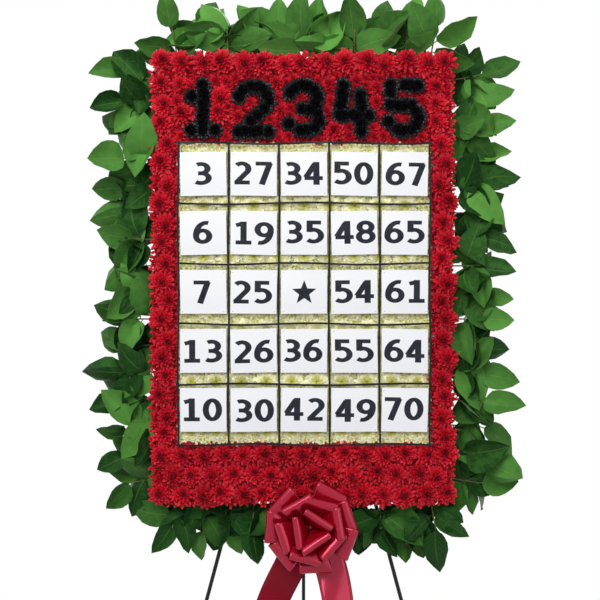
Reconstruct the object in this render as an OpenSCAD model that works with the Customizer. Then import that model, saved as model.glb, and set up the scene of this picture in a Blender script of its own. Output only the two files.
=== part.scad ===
// Floral tribute in the form of a bingo card, on a folding wire easel.
// A foam board carries flower heads, number cards, ribbons, a leaf border and a bow.
// Frame: +Z up, +X to the viewer's right, the face towards -Y.
// The origin lies on the floor, in the middle of the footprint.

/* [Easel] */
// Length of the front frame from the floor to the tops of its legs
easel_l = 1220; // [1100:10:1400]
// Diameter of the easel wire
wire_d = 8; // [6:0.5:10]
// Backward lean of the front frame, degrees
lean = 10; // [6:1:16]
// Sideways splay of each front leg, degrees
splay = 15; // [11:0.5:18]
// Distance between the front legs' centre lines at the hinge rod
hinge_span = 60; // [50:1:90]
// How far the hinge rod lies below the tops of the legs
hinge_drop = 40; // [20:1:80]
// Backward slope of the open rear leg, degrees from upright
rear_angle = 16; // [12:1:22]
// Length of the rear leg's sleeve on the hinge rod
sleeve_l = 36; // [20:1:40]
// Wall of the sleeve
sleeve_wall = 3; // [2:0.5:4]
// Radial play of the sleeve on the hinge rod
hinge_play = 0.1; // [0.05:0.01:0.3]
// How far the stay lies below the hinge rod
stay_drop = 84; // [70:1:110]
// Diameter of the stay's wire
stay_d = 5; // [4:0.5:6]
// Height of the lower crossbar along the front frame
crossbar_h = 420; // [200:10:520]
// How far the prongs stop short of the board's front
prong_setback = 8; // [6:1:20]

/* [Board] */
// Width of the foam board
board_w = 610; // [600:1:700]
// Height of the foam board
board_h = 914; // [900:1:1000]
// Thickness of the foam board
board_t = 51; // [40:1:60]
// Height of the board's bottom edge along the front frame
board_base = 745; // [680:5:800]
// Wire of the anchors that tie the board to the legs
anchor_d = 2; // [1:0.5:3]
// Depth to which an anchor enters the foam
anchor_in = 30; // [15:1:36]
// Height of the anchors above the board's bottom edge
anchor_up = 250; // [150:10:320]

/* [Grid and cards] */
// Width of the flower border at each side of the grid
side_border = 46.25; // [44:0.25:60]
// Height of the flower border below the grid
grid_base = 116; // [100:1:125]
// Height of the header above the grid
header_h = 178; // [165:1:190]
// Width of the grid ribbons
strip_w = 5; // [3:0.5:7]
// Thickness of the grid ribbons
strip_t = 0.4; // [0.3:0.1:0.8]
// Space between neighbouring cards in a row
card_gap = 8.5; // [8:0.5:20]
// Space between neighbouring rows of cards
row_gap = 34; // [20:0.5:44]
// Rise of the middle row's cards above the middle of their cells, as a share of the row gap
card_rise = 0.13; // [0:0.01:0.15]
// Further rise of each lower row, as a share of the row gap
card_drift = 0.08; // [0:0.01:0.08]
// Thickness of a number card
card_t = 0.4; // [0.3:0.1:0.8]
// Distance of a pin from the card's edges
pin_inset = 5; // [3:0.5:12]
// Diameter of a pin's shaft
pin_d = 0.9; // [0.7:0.1:1.2]
// Diameter of a pin's head
pin_head_d = 2.6; // [2:0.1:4]
// Length of a pin below its head
pin_l = 28; // [24:1:40]

/* [Flowers] */
// Diameter of a red head's firm core
red_d = 39; // [34:0.5:42]
// Height of a red head above the foam
red_h = 25; // [22:0.5:30]
// Diameter of a white head's firm core
white_d = 47; // [40:0.5:50]
// Height of a white head above the foam
white_h = 20; // [16:0.5:22]
// Diameter of a black head's firm core
black_d = 12; // [10:0.5:14]
// Height of a black head above the foam
black_h = 27; // [22:0.5:30]
// Space between neighbouring heads
head_gap = 1; // [0.5:0.1:2]
// Distance of the outer heads' stems from the board's edge
edge_inset = 13; // [10:0.5:16]
// Diameter of a flower stem
stem_d = 3.2; // [2:0.2:4]
// Distance of the flower stems' ends from the middle of the foam
stem_clear = 7.5; // [7:0.5:12]
// Space between neighbouring numerals
numeral_gap = 11.5; // [8:0.5:20]
// Width of a numeral's stroke with its petals
stroke = 31; // [26:1:34]
// Distance of the numerals below the board's top edge
numeral_drop = 44; // [42:1:50]
// Distance of the numerals above the grid
numeral_rise = 10; // [6:1:30]

/* [Foliage] */
// Length of a leaf
leaf_l = 76; // [55:1:82]
// Width of a leaf as a share of its length
leaf_share = 0.6; // [0.45:0.01:0.62]
// Thickness of a leaf
leaf_t = 0.8; // [0.5:0.1:1]
// Diameter of a sprig's stem
sprig_d = 3; // [2:0.1:3.4]
// Depth to which a sprig enters the foam
sprig_in = 25; // [12:1:26]
// Distance of the end leaf from the board's edge
sprig_l = 64; // [60:1:80]
// Forward tilt of the foremost sprigs, degrees
tilt_front = 18; // [14:1:20]
// Backward tilt of the rearmost sprigs, degrees
tilt_back = 9; // [8:1:9]
// Distance of the first and last sprig from the board's corners
corner_inset = 42; // [38:1:60]
// Usual distance between neighbouring sprigs
sprig_pitch = 54; // [52:1:58]
// Distance of the side leaves from the board's edge
leaf_from = 33; // [30:1:40]

/* [Bow] */
// Width of the bow's ribbon
ribbon_w = 66; // [50:1:70]
// Thickness of the bow's ribbon
ribbon_t = 0.8; // [0.5:0.1:1]
// Reach of the outer loops from the tie
loop_l = 96; // [80:1:105]
// Reach of the front loops from the tie
front_loop_l = 82; // [70:1:90]
// Radius of the tie
tie_r = 12; // [10:0.5:14]
// Sideways place of the bow
bow_x = 13; // [9:0.5:16]
// Height of the tie below the board's bottom edge
bow_drop = 50; // [44:1:56]
// Diameter of the bow's pick
pick_d = 3.5; // [2:0.5:4]
// Length of the tails
tail_l = 400; // [250:10:480]
// How far the right tail drapes forward below the loops, and the left one back
tail_drape = 28; // [0:1:32]

/* [Hidden] */
$fn = 48;
eps = 0.05;
columns = 5;
rows = 5;
// Front frame: height of the hinge rod, and a leg's distance from the middle
hinge_w = easel_l - hinge_drop;
hinge_v = wire_d + eps;
function leg_x(w) = hinge_span / 2 + (hinge_w - w) * tan(splay);
leg_top_x = leg_x(easel_l);
fold = lean + rear_angle;
// Board: back and front faces, and the middle between them
back_v = -wire_d / 2 - 0.2;
front_v = back_v - board_t;
mid_v = back_v - board_t / 2;
prong_w = board_base - wire_d / 2 - eps;
prong_x = leg_x(prong_w) - (wire_d + eps) / cos(splay);
// Grid, its cells, and what stands in or over a cell
grid_w = board_w - 2 * side_border;
grid_h = board_h - grid_base - header_h;
grid_top = grid_base + grid_h;
cell_w = grid_w / columns;
cell_h = grid_h / rows;
card_w = cell_w - card_gap;
card_h = cell_h - row_gap;
numeral_w = cell_w - numeral_gap;
numeral_h = header_h - numeral_drop - numeral_rise;
strip_v = front_v - white_h - 0.3;
// Flowers
stem_in = board_t / 2 - stem_clear;
red_pitch = red_d + head_gap;
strip_clear = strip_w / 2 + head_gap;
// Footprint: the rear foot and the front loops lie equally far from the origin
function frame_y(v, w) = w * sin(lean) + v * cos(lean);
function frame_z(v, w) = w * cos(lean) - v * sin(lean);
bow_v = front_v - red_h - tie_r - 3;
bow_w = board_base - bow_drop;
hinge_z = frame_z(hinge_v, hinge_w);
rear_y = frame_y(hinge_v, hinge_w) + hinge_z * tan(rear_angle) + wire_d / 2;
fore_y = frame_y(bow_v - 0.9 * front_loop_l, bow_w);
front_y = -(rear_y + fore_y) / 2;

// Even spread between -1 and 1
function wobble(i, k) = let (a = i * 0.618034 + k * 0.414214) 2 * (a - floor(a)) - 1;
function unit(v) = v / norm(v);

// Puts the front frame's own axes onto the floor
module leaned() {
  translate([0, front_y, 0])
    rotate([-lean, 0, 0])
      children();
}

// Takes away what lies below the floor
module above_floor() {
  difference() {
    children();
    translate([-easel_l, -easel_l, -easel_l])
      cube([2 * easel_l, 2 * easel_l, easel_l]);
  }
}

// Round wire from one point to another
module wire(a, b, d) {
  along = b - a;
  translate(a)
    rotate([0, acos(along[2] / norm(along)), atan2(along[1], along[0])])
      cylinder(d = d, h = norm(along));
}

// Easel
module front_leg(side) {
  color("#1c1c1e")
    above_floor()
      leaned()
        wire([side * leg_x(-40), 0, -40], [side * leg_top_x, 0, easel_l], wire_d);
}

module hinge_rod() {
  half = hinge_span / 2 + 1.5 * wire_d;
  color("#1c1c1e")
    leaned()
      wire([-half, hinge_v, hinge_w], [half, hinge_v, hinge_w], wire_d);
}

module lower_crossbar() {
  half = leg_x(crossbar_h) + wire_d;
  color("#1c1c1e")
    leaned()
      wire([-half, hinge_v, crossbar_h], [half, hinge_v, crossbar_h], wire_d);
}

// A half hoop of wire, so the open rear leg leans against its middle
module leg_stay() {
  w = hinge_w - stay_drop;
  half = leg_x(w);
  start = wire_d / 2 + eps;
  reach = hinge_v + stay_drop * tan(fold)
    + (wire_d / 2 + stay_d / 2 + 0.3) / cos(fold);
  color("#1c1c1e")
    leaned()
      translate([0, 0, w])
        difference() {
          translate([0, reach - half, 0])
            rotate_extrude()
              translate([half, 0])
                circle(d = stay_d);
          translate([-2 * half, start - 4 * half, -half])
            cube([4 * half, 4 * half, 2 * half]);
        }
}

module prongs() {
  color("#1c1c1e")
    leaned()
      for (x = [-prong_x, prong_x])
        wire([x, wire_d / 2, prong_w], [x, front_v + prong_setback, prong_w], wire_d);
}

// The rear leg's own axes: X along the hinge, Z up the open leg
module rear_leaned() {
  translate([0, front_y + frame_y(hinge_v, hinge_w), hinge_z])
    rotate([rear_angle, 0, 0])
      children();
}

sleeve_r = wire_d / 2 + hinge_play + sleeve_wall;
rear_leg_l = hinge_z / cos(rear_angle) + 2 * wire_d;

module rear_leg() {
  color("#1c1c1e")
    above_floor()
      rear_leaned()
        difference() {
          translate([0, 0, -rear_leg_l])
            cylinder(d = wire_d, h = rear_leg_l);
          rotate([0, 90, 0])
            cylinder(r = sleeve_r, h = 2 * wire_d, center = true);
        }
}

module rear_leg_sleeve() {
  color("#1c1c1e")
    rear_leaned()
      rotate([0, 90, 0])
        difference() {
          cylinder(r = sleeve_r, h = sleeve_l, center = true);
          cylinder(d = wire_d + 2 * hinge_play, h = sleeve_l + 2, center = true);
        }
}

// U-shaped wires over the legs, with both ends in the foam
module anchor_wires() {
  w = board_base + anchor_up;
  bow_r = wire_d / 2 + anchor_d / 2 + 0.3;
  color("#8a8f8a")
    leaned()
      for (s = [-1, 1])
        translate([s * leg_x(w), 0, w])
          rotate([0, -s * splay, 0])
            union() {
              rotate_extrude(angle = 180)
                translate([bow_r, 0])
                  circle(d = anchor_d);
              for (x = [-bow_r, bow_r])
                translate([x, 0, 0])
                  rotate([90, 0, 0])
                    cylinder(d = anchor_d, h = anchor_in - back_v);
            }
}

// Board
module foam_board() {
  color("#e9ece6")
    leaned()
      translate([-board_w / 2, front_v, board_base])
        cube([board_w, board_t, board_h]);
}

// Flower heads
// One head with its stem: a turned outline whose axis points out of the board
module head(d, h) {
  r = d / 2;
  rotate([90, 0, 0])
    rotate_extrude()
      polygon([[0, -stem_in], [stem_d / 2, -stem_in], [stem_d / 2, 0.16 * h],
        [r, 0.5 * h], [0.9 * r, 0.8 * h], [0.5 * r, h], [0, 0.9 * h]]);
}

// Heads at a list of places on the board, each [x, height, diameter]
module heads(places, h) {
  leaned()
    for (p = places)
      translate([p[0], front_v, board_base + p[1]])
        head(p[2], h);
}

// Whether the square round a head of diameter d at p is clear of every head in a list
function clear_of(p, d, taken) =
  len([for (q = taken) if (max(abs(p[0] - q[0]), abs(p[1] - q[1])) < (d + q[2]) / 2 + head_gap) 1]) == 0;
// Keeps each candidate that is clear of the heads already there
function filled(spots, d, taken, i = 0, kept = []) =
  i >= len(spots) ? kept
  : filled(spots, d, taken, i + 1,
      clear_of(spots[i], d, taken) && clear_of(spots[i], d, kept)
      ? [each kept, [spots[i][0], spots[i][1], d]] : kept);

// Fills what is free above a line with heads of ever smaller shares of the red diameter
function packed(spots, low, shares, taken, k = 0) =
  k >= len(shares) ? []
  : let (
      d = shares[k] * red_d,
      new = filled([for (p = spots) if (p[1] > low + d / 2) p], d, taken))
    [each new, each packed(spots, low, shares, [each taken, each new], k + 1)];

// Rows of heads across the board, every second row shifted by half a step
half_x = board_w / 2 - edge_inset;
row_n = floor(2 * half_x / red_pitch);
row_step = 2 * half_x / row_n;
function red_row(w, shifted) =
  [for (i = [0 : row_n - (shifted ? 1 : 0)])
    [-half_x + (i + (shifted ? 0.5 : 0)) * row_step, w, red_d]];

bottom_n = 1 + floor((grid_base - strip_clear - red_d / 2 - edge_inset) / red_pitch);
function bottom_heads() =
  [for (k = [0 : bottom_n - 1]) each red_row(edge_inset + k * red_pitch, k % 2 == 1)];

// Side columns step in and out
side_base = edge_inset + (bottom_n - 1) * red_pitch + red_pitch;
side_out = board_w / 2 - edge_inset;
side_in = max(grid_w / 2 + strip_clear + red_d / 2, side_out - 12);
side_n = floor((grid_top - side_base) / red_pitch) + 1;
function side_heads(s) =
  [for (i = [0 : side_n - 1])
    [s * (i % 2 == 0 ? side_out : side_in), side_base + i * red_pitch, red_d]];

// Header numerals: strokes as shares of the numeral's centre-line box
function arc(c, r, a0, a1) =
  [for (k = [0 : 12]) let (a = a0 + (a1 - a0) * k / 12) [c[0] + r[0] * cos(a), c[1] + r[1] * sin(a)]];
numerals = [
  [[[0.5, 1], [0.5, 0]], [[0.1, 0], [0.9, 0]], [[0.08, 0.78], [0.5, 1]]],
  [[each arc([0.5, 0.7], [0.5, 0.3], 165, -30), [0, 0]], [[0, 0], [1, 0]]],
  [arc([0.47, 0.75], [0.5, 0.25], 160, -90), arc([0.47, 0.25], [0.53, 0.25], 90, -160)],
  [[[0.16, 1], [0, 0.34]], [[0, 0.34], [1, 0.34]], [[0.74, 0.8], [0.74, 0]]],
  [[[0.95, 1], [0.05, 1]], [[0.05, 1], [0.05, 0.56]],
    arc([0.45, 0.29], [0.55, 0.29], 130, -160)]];

// Candidates on the board for a numeral: the ends of its strokes, then along them
function numeral_spots(n) =
  let (
    box = [numeral_w - stroke, numeral_h - stroke],
    corner = [(n - (columns - 1) / 2) * cell_w - box[0] / 2,
      board_h - numeral_drop - numeral_h + stroke / 2],
    paths = [for (path = numerals[n])
      [for (p = path) corner + [p[0] * box[0], p[1] * box[1]]]])
  [for (path = paths) each [path[0], path[len(path) - 1]],
    for (path = paths, i = [0 : len(path) - 2])
      let (along = path[i + 1] - path[i], steps = max(1, ceil(norm(along))))
        for (k = [0 : steps]) path[i] + along * k / steps];
function numeral_heads(n) = filled(numeral_spots(n), black_d, []);

// The top border: a full row, then ever smaller heads between the numerals
module red_mums_top() {
  first = red_row(board_h - edge_inset, false);
  sides = [each side_heads(-1), each side_heads(1)];
  black = [for (n = [0 : columns - 1], p = numeral_heads(n)) [p[0], p[1], 0.72 * stroke]];
  low = grid_top + strip_clear;
  high = board_h - edge_inset;
  step = 5;
  spots = [for (w = [low + 6 : step : high], x = [-half_x : step : half_x]) [x, w]];
  between = packed(spots, low, [1, 0.66, 0.42, 0.3], [each first, each sides, each black]);
  color("#c3142b")
    heads([each first, each between], red_h);
}

module red_mums_bottom() {
  color("#c3142b")
    heads(bottom_heads(), red_h);
}

module red_mums_side(s) {
  color("#c3142b")
    heads(side_heads(s), red_h);
}

module black_mums(n) {
  color("#141416")
    heads(numeral_heads(n), black_h);
}

// White bed: staggered rows that fill the grid, in a lower and an upper half
module white_mums(half) {
  pitch = white_d + head_gap;
  across = floor(grid_w / pitch);
  step_x = grid_w / across;
  up = 2 * floor(grid_h / pitch / 2);
  step_w = grid_h / up;
  first = half * up / 2;
  color("#f1efdd")
    heads([for (j = [first : first + up / 2 - 1], i = [0 : across - 1 - j % 2])
      [(i + 0.5 + (j % 2) / 2) * step_x - grid_w / 2, grid_base + (j + 0.5) * step_w, white_d]],
      white_h);
}

// Cards, counted from the top row and the left column
function card_at(r, c) =
  let (rise = (card_rise + card_drift * (r - (rows + 1) / 2)) * row_gap)
  [(c - (columns + 1) / 2) * cell_w, strip_v,
    board_base + grid_top - (r - 0.5) * cell_h + rise];

module card(r, c) {
  color("#f7f7f4")
    leaned()
      translate(card_at(r, c))
        rotate([0, 1.2 * wobble(5 * r + c, 1), 0])
          translate([-card_w / 2, -card_t, -card_h / 2])
            cube([card_w, card_t, card_h]);
}

module card_pins() {
  color("#b9bcc0")
    leaned()
      for (r = [1 : rows], c = [1 : columns], x = [-1, 1], z = [-1, 1])
        translate(card_at(r, c))
          translate([x * (card_w / 2 - pin_inset), -card_t - eps, z * (card_h / 2 - pin_inset)])
            rotate([90, 0, 0])
              rotate_extrude()
                polygon([[0, -pin_l], [pin_d / 2, -pin_l + 2], [pin_d / 2, 0],
                  [pin_head_d / 2, 0], [pin_head_d / 2, 0.5], [pin_head_d / 4, 0.9], [0, 0.9]]);
}

// Grid ribbons: the upright ones lie over the ones across
module grid_ribbons_across() {
  color("#17171a")
    leaned()
      for (j = [0 : rows])
        translate([-(grid_w + strip_w) / 2, strip_v - strip_t,
          board_base + grid_base + j * cell_h - strip_w / 2])
          cube([grid_w + strip_w, strip_t, strip_w]);
}

module grid_ribbons_up() {
  color("#17171a")
    leaned()
      for (i = [0 : columns])
        translate([i * cell_w - grid_w / 2 - strip_w / 2, strip_v - 2 * strip_t - eps,
          board_base + grid_base - strip_w / 2])
          cube([strip_w, strip_t, grid_h + strip_w]);
}

// Foliage
// Sides are counted from the top clockwise: top, right, bottom, left
function side_half(s) = s % 2 == 0 ? board_w / 2 : board_h / 2;
function side_off(s) = s % 2 == 0 ? board_h / 2 : board_w / 2;
// Five tilts in turn, so that neighbouring sprigs lie in different planes
function sprig_n(s) = 5 * round(2 * (side_half(s) - corner_inset) / (5 * sprig_pitch)) + 1;
function sprig_at(s, i) =
  (side_half(s) - corner_inset) * (2 * i / (sprig_n(s) - 1) - 1);
function sprig_turn(s, i) = 14 * pow(sprig_at(s, i) / side_half(s), 3);
function sprig_tilt(s, i) =
  -tilt_back + (tilt_front + tilt_back) * ((2 * i + (s % 2 == 0 ? 4 : 0)) % 5) / 4;
// At the bottom a sprig keeps clear of the prongs
function sprig_fits(s, i) =
  s != 2 || abs(abs(sprig_at(s, i)) - prong_x) > (wire_d + sprig_d) / 2 + 2;

// A sprig's own axes: X along the board's edge, Y outward, Z to the front
module sprig(s, i) {
  leaned()
    translate([0, mid_v, board_base + board_h / 2])
      rotate([0, 90 * s, 0])
        translate([sprig_at(s, i), 0, side_off(s)])
          rotate([90, 0, 0])
            rotate([sprig_tilt(s, i), 0, 0])
              rotate([0, 0, -sprig_turn(s, i)])
                children();
}

// Outline of a leaf from its stalk at the origin to its tip on +Y
module leaf(l) {
  half = l * leaf_share / 2;
  shape = [for (k = [1 : 7])
    let (u = k / 8)
    [half * pow(sin(180 * pow(u, 0.8)), 0.8), l * (0.08 + 0.92 * u)]];
  translate([0, 0, -leaf_t / 2])
    linear_extrude(leaf_t)
      polygon([[-0.8, 0], [0.8, 0], [1, 0.09 * l], each shape, [0, l],
        each [for (k = [6 : -1 : 0]) [-shape[k][0], shape[k][1]]], [-1, 0.09 * l]]);
}

// Three leaves on a stem: one at each side and one at the end
module sprig_leaves(s, i) {
  n = 3 * i + 50 * s;
  for (side = [-1, 1])
    translate([side * (sprig_d / 2 + 0.3), leaf_from + side * 2.5, 0])
      rotate([0, 0, -side * (60 + 7 * wobble(n + side, 1))])
        leaf(leaf_l * (0.96 + 0.1 * wobble(n + side, 2)));
  translate([0, sprig_l + 0.3, 0])
    rotate([0, 0, 12 * wobble(n, 3)])
      leaf(leaf_l * (0.92 + 0.12 * wobble(n, 4)));
}

module leaves(s) {
  color(["#4f7a3a", "#3f6b35", "#47723a", "#588343"][s])
    for (i = [0 : sprig_n(s) - 1])
      if (sprig_fits(s, i))
        sprig(s, i)
          sprig_leaves(s, i);
}

module sprig_stems() {
  color("#6b5a36")
    for (s = [0 : 3], i = [0 : sprig_n(s) - 1])
      if (sprig_fits(s, i))
        sprig(s, i)
          translate([0, -sprig_in, 0])
            rotate([-90, 0, 0])
              cylinder(d = sprig_d, h = sprig_in + sprig_l);
}

// Bow
// Solid ribbon through stations [centre, direction across, direction of its face, width]
// Both faces are split along the same diagonals, so a twist keeps its thickness
module ribbon(stations, t) {
  n = len(stations);
  points = [for (q = stations, k = [[-1, -1], [1, -1], [1, 1], [-1, 1]])
    q[0] + q[1] * k[0] * q[3] / 2 + q[2] * k[1] * t / 2];
  walls = [for (i = [0 : n - 2], k = [0 : 3])
    let (a = 4 * i + k, b = 4 * i + (k + 1) % 4)
    each k == 2 ? [[a, a + 4, b], [a + 4, b + 4, b]]
      : [[a, a + 4, b + 4], [a, b + 4, b]]];
  z = 4 * n - 4;
  ends = [[0, 1, 2], [0, 2, 3], [z + 2, z + 1, z], [z + 3, z + 2, z]];
  polyhedron(points = points, faces = [each walls, each ends]);
}

// One loop: a drop-shaped path that starts and ends at the tie
// Its own axes: X outward, Y across the ribbon, Z to the upper side
function loop_path(l, rise, a) =
  let (near = (1 + cos(a)) / 2) [tie_r + 0.6 + (l - tie_r - 0.6) * near, 0,
    rise * 1.3 * sin(a) * near + 1.2 * sin(a / 2)];
module loop(l, rise, share) {
  n = 18;
  stations = [for (k = [0 : n])
    let (
      a = -176 + 352 * k / n,
      p = loop_path(l, rise, a),
      along = unit(loop_path(l, rise, a + 1) - loop_path(l, rise, a - 1)))
    [p, [0, 1, 0], [-along[2], 0, along[0]], min(ribbon_w, share * p[0])]];
  ribbon(stations, ribbon_t);
}

module bow_frame() {
  leaned()
    translate([bow_x, bow_v, bow_w])
      children();
}

// One ring of loops at the given angles round the tie, all lifted alike to the front
module loop_ring(turns, lift, l, rise, share) {
  for (k = [0 : len(turns) - 1])
    rotate([0, -turns[k], 0])
      rotate([0, 0, -lift])
        rotate([90, 0, 0])
          loop(l * (0.97 + 0.03 * wobble(k, 1)), rise, share);
}

// Seven loops spread against the flowers, six raised before them, three at the front
module bow_loops() {
  color("#c8102e")
    bow_frame() {
      loop_ring([178, 137, 60, 18, -22, -83, -136], 10, loop_l, 14, 0.68);
      loop_ring([118, 68, 13, -36, -100, -164], 36, front_loop_l, 11, 0.64);
      loop_ring([55, 188, -65], 64, 0.87 * front_loop_l, 9, 0.66);
    }
}

module bow_tie() {
  color("#a50d26")
    bow_frame()
      sphere(r = tie_r);
}

// The pick runs from the tie up into the board's bottom edge
module bow_pick() {
  into = 30;
  rise = bow_drop;
  run = (front_v - 10) - bow_v;
  slope = atan(rise / (abs(run) + 20));
  color("#c9a66b")
    bow_frame()
      difference() {
        rotate([slope - 90, 0, 0])
          cylinder(d = pick_d, h = bow_drop / sin(slope) + into);
        sphere(r = tie_r);
      }
}

// Tails hang from below the tie, behind the loops, swing out to their sides and drape
bow_at = [bow_x, front_y + frame_y(bow_v, bow_w), frame_z(bow_v, bow_w)];
tail_from = unit([0.45, 0.55, -0.86]) * (tie_r + ribbon_t / 2 + 0.1);
function tail_path(s, u) =
  let (
    out = s < 0 ? 0.38 * tail_l * u * (1.25 - 0.35 * u) : 0.15 * tail_l * (1 - pow(1 - u, 4)),
    below = max(0, min(1, (u - 0.18) / 0.26)),
    drape = tail_drape * (1 - cos(180 * below)) / 2)
  tail_from + [s * (tail_from[0] + out) - tail_from[0],
    5 * u * sin(560 * u + 40 * s) - 16 * u * u - s * drape, -0.93 * tail_l * u];
module tail(s) {
  n = 24;
  stations = [for (k = [0 : n])
    let (
      u = k / n,
      along = unit(tail_path(s, u + 0.01) - tail_path(s, u - 0.01)),
      turn = s < 0 ? 4 + 26 * u : -56 * pow(u, 1.2),
      flat = unit(cross(along, [0, 1, 0])),
      face = cross(along, flat),
      across = flat * cos(turn) + face * sin(turn),
      grown = min(1, 0.12 + 5 * u))
    [tail_path(s, u), across, cross(along, across), ribbon_w * grown]];
  color("#b80f2a")
    translate(bow_at)
      ribbon(stations, ribbon_t);
}

front_leg(-1);  // left_front_leg
front_leg(1);  // right_front_leg
hinge_rod();
lower_crossbar();
leg_stay();
prongs();
rear_leg();
rear_leg_sleeve();
anchor_wires();
foam_board();
red_mums_top();
red_mums_bottom();
red_mums_side(-1);  // red_mums_left
red_mums_side(1);  // red_mums_right
black_mums(0);  // black_mums_1
black_mums(1);  // black_mums_2
black_mums(2);  // black_mums_3
black_mums(3);  // black_mums_4
black_mums(4);  // black_mums_5
white_mums(1);  // white_mums_upper
white_mums(0);  // white_mums_lower
card(1, 1);  // card_1_1
card(1, 2);  // card_1_2
card(1, 3);  // card_1_3
card(1, 4);  // card_1_4
card(1, 5);  // card_1_5
card(2, 1);  // card_2_1
card(2, 2);  // card_2_2
card(2, 3);  // card_2_3
card(2, 4);  // card_2_4
card(2, 5);  // card_2_5
card(3, 1);  // card_3_1
card(3, 2);  // card_3_2
card(3, 3);  // card_3_3
card(3, 4);  // card_3_4
card(3, 5);  // card_3_5
card(4, 1);  // card_4_1
card(4, 2);  // card_4_2
card(4, 3);  // card_4_3
card(4, 4);  // card_4_4
card(4, 5);  // card_4_5
card(5, 1);  // card_5_1
card(5, 2);  // card_5_2
card(5, 3);  // card_5_3
card(5, 4);  // card_5_4
card(5, 5);  // card_5_5
card_pins();
grid_ribbons_across();
grid_ribbons_up();
leaves(0);  // leaves_top
leaves(1);  // leaves_right
leaves(2);  // leaves_bottom
leaves(3);  // leaves_left
sprig_stems();
bow_loops();
bow_tie();
bow_pick();
tail(-1);  // left_tail
tail(1);  // right_tail
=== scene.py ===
"""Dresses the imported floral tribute: petals, cards, ribbons, foliage, bow, finishes and stage."""

from math import asin, atan2, copysign, cos, dist, pi, radians, sin, tan
from random import Random

import bmesh
import bpy
import numpy as np
from mathutils import Matrix, Vector


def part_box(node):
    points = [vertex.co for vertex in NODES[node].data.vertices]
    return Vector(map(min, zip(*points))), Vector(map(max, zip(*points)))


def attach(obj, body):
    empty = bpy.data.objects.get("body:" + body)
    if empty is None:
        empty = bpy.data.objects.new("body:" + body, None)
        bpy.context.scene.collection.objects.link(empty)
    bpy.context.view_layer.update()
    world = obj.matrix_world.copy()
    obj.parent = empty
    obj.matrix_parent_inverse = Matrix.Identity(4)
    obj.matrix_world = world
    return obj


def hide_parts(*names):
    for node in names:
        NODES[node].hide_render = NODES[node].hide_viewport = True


bl_info = {
    "name": "Floral tribute in bingo-card form",
    "version": (1, 0, 0),
    "blender": (4, 5, 0),
    "location": "3D View > Sidebar > Tribute",
    "description": "Flower heads, number cards, ribbons, foliage, bow and stage round the packed part",
    "category": "Object",
}

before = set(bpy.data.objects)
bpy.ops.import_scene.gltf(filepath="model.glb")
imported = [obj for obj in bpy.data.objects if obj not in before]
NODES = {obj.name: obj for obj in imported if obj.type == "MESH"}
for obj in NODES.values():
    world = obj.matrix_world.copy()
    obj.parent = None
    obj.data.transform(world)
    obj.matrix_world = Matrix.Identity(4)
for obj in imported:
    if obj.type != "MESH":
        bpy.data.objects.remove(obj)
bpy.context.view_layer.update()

MM = 0.001
GOLDEN = radians(137.508)  # Angle from one petal to the next


def linear(code):
    """Linear RGBA of an sRGB hex colour."""
    parts = [int(code[i : i + 2], 16) / 255 for i in (1, 3, 5)]
    return tuple(
        c / 12.92 if c <= 0.04045 else ((c + 0.055) / 1.055) ** 2.4 for c in parts
    ) + (1.0,)


WHITE = linear("#ffffff")


# Reading the frame


def places_of(obj):
    """An object's vertices as rows of x, y, z."""
    flat = np.empty(len(obj.data.vertices) * 3)
    obj.data.vertices.foreach_get("co", flat)
    return flat.reshape(-1, 3)


def axes_of(x, y, z, place=(0, 0, 0)):
    """The matrix with these axes at a place."""
    return Matrix.Translation(place) @ Matrix((x, y, z)).transposed().to_4x4()


def main_axes(points):
    """Directions in which points spread, the longest first."""
    return np.linalg.svd(points, full_matrices=False)[2]


def face_of_board():
    """The board's face as a matrix: X across, Y up, Z out of it, from the middle of its bottom edge."""
    points = places_of(NODES["foam_board"])
    points = points[np.argsort(points[:, 2])]
    steps = np.flatnonzero(np.diff(points[:, 2]) > MM) + 1
    back, front, top, _ = [
        Vector((level.min(0) + level.max(0)) / 2) for level in np.split(points, steps)
    ]
    up, out = (top - back).normalized(), (front - back).normalized()
    return axes_of(up.cross(out), up, out, front)


BOARD = face_of_board()
OUT = BOARD.to_3x3().col[2].copy()
TIE_LOW, TIE_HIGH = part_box("bow_tie")
TIE = (TIE_LOW + TIE_HIGH) / 2
TIE_R = (TIE_HIGH.x - TIE_LOW.x) / 2


def on_board(points):
    """Rows of x, y, z in the board's own axes."""
    turn = np.array(BOARD.inverted())
    return points @ turn[:3, :3].T + turn[:3, 3]


def extent(points):
    """Lowest and highest corner of some places, in the board's own axes."""
    flat = on_board(points)
    return flat.min(0), flat.max(0)


BOARD_LOW, BOARD_HIGH = extent(places_of(NODES["foam_board"]))
GRID_LOW, GRID_HIGH = extent(places_of(NODES["grid_ribbons_across"]))
HEART = BOARD @ Vector((0, BOARD_HIGH[1] / 2, 0))


def mode(name):
    """Enters edit mode or object mode."""
    bpy.ops.object.mode_set(mode=name)


def only(*objects):
    """Selects these objects alone, the first one active."""
    bpy.ops.object.select_all(action="DESELECT")
    for o in objects:
        o.select_set(True)
    bpy.context.view_layer.objects.active = objects[0]


def loose_parts(name):
    """The vertices of each solid in a CAD node, from a merged copy, in a fixed order."""
    copy = bpy.data.objects.new(name + "_read", NODES[name].data.copy())
    bpy.context.collection.objects.link(copy)
    only(copy)
    mode("EDIT")
    bpy.ops.mesh.select_all(action="SELECT")
    bpy.ops.mesh.remove_doubles(threshold=0.01 * MM)
    bpy.ops.mesh.separate(type="LOOSE")
    mode("OBJECT")
    parts = []
    for o in list(bpy.context.selected_objects):
        parts.append(places_of(o))
        bpy.data.meshes.remove(o.data)
    return sorted(parts, key=lambda p: tuple(p.mean(0).round(4)))


# Modelling


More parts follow.
